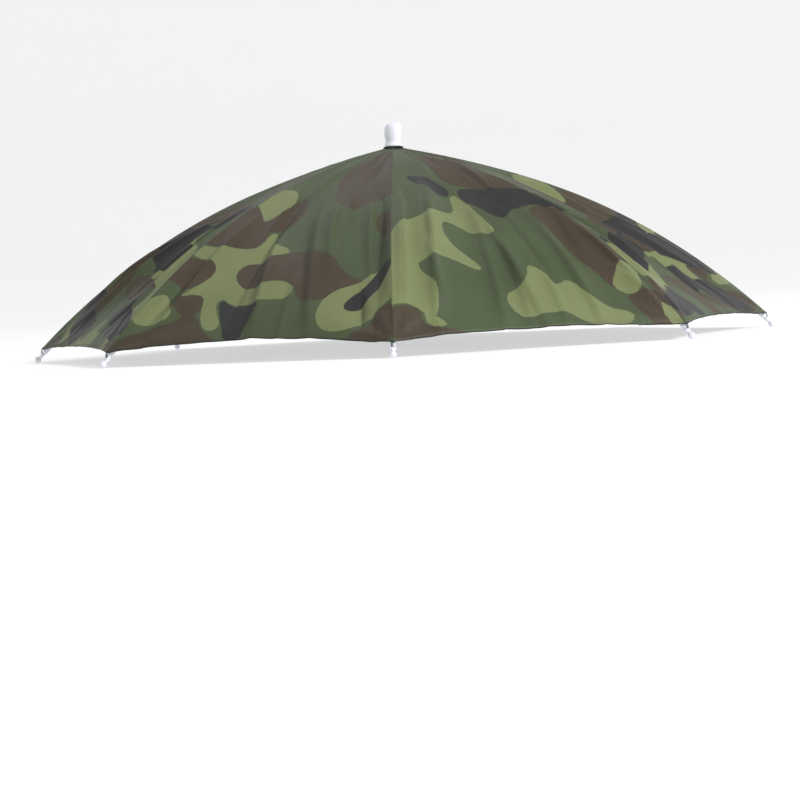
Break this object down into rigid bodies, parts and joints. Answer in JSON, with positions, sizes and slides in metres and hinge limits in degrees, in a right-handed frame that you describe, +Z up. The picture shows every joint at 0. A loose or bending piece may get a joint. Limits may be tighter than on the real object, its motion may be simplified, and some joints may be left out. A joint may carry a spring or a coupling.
{
  "type": "umbrella hat",
  "caption": "Small open umbrella worn on the head: a domed cloth canopy on curved ribs with ball tips, a knob on top and an elastic headband below.",
  "frame": {"origin": "on the floor under the middle of the canopy, at the height of the bottoms of the eight ball tips", "axes": "+Z up along the knob and post, -Y towards the wearer's front, which is where rib 1 points, +X towards the wearer's left"},
  "size_m": [0.7042, 0.7042, 0.2109],
  "materials": {
    "camouflage_cloth": "woven polyester, woodland camouflage print outside and silver-grey coating inside",
    "black_steel": "black, satin",
    "white_plastic": "milky white, slightly translucent, satin",
    "crown_patch": "dark cloth patch",
    "black_elastic": "ribbed knitted elastic, matt",
    "black_webbing": "woven tape, matt"
  },
  "bodies": {
    "root": {"panel_front_right": "camouflage_cloth", "panel_right_front": "camouflage_cloth", "panel_right_back": "camouflage_cloth", "panel_back_right": "camouflage_cloth", "panel_back_left": "camouflage_cloth", "panel_left_back": "camouflage_cloth", "panel_left_front": "camouflage_cloth", "panel_front_left": "camouflage_cloth", "rib_1": "black_steel", "rib_2": "black_steel", "rib_3": "black_steel", "rib_4": "black_steel", "rib_5": "black_steel", "rib_6": "black_steel", "rib_7": "black_steel", "rib_8": "black_steel", "tip_cap_1": "white_plastic", "tip_cap_2": "white_plastic", "tip_cap_3": "white_plastic", "tip_cap_4": "white_plastic", "tip_cap_5": "white_plastic", "tip_cap_6": "white_plastic", "tip_cap_7": "white_plastic", "tip_cap_8": "white_plastic", "stretcher_1": "black_steel", "stretcher_2": "black_steel", "stretcher_3": "black_steel", "stretcher_4": "black_steel", "stretcher_5": "black_steel", "stretcher_6": "black_steel", "stretcher_7": "black_steel", "stretcher_8": "black_steel", "band_strap_1": "black_webbing", "band_strap_2": "black_webbing", "band_strap_3": "black_webbing", "band_strap_4": "black_webbing", "band_strap_5": "black_webbing", "band_strap_6": "black_webbing", "band_strap_7": "black_webbing", "band_strap_8": "black_webbing", "hub": "white_plastic", "runner": "white_plastic", "post": "white_plastic", "crown_washer": "crown_patch", "knob": "white_plastic", "headband": "black_elastic"}
  },
  "joints": []
}
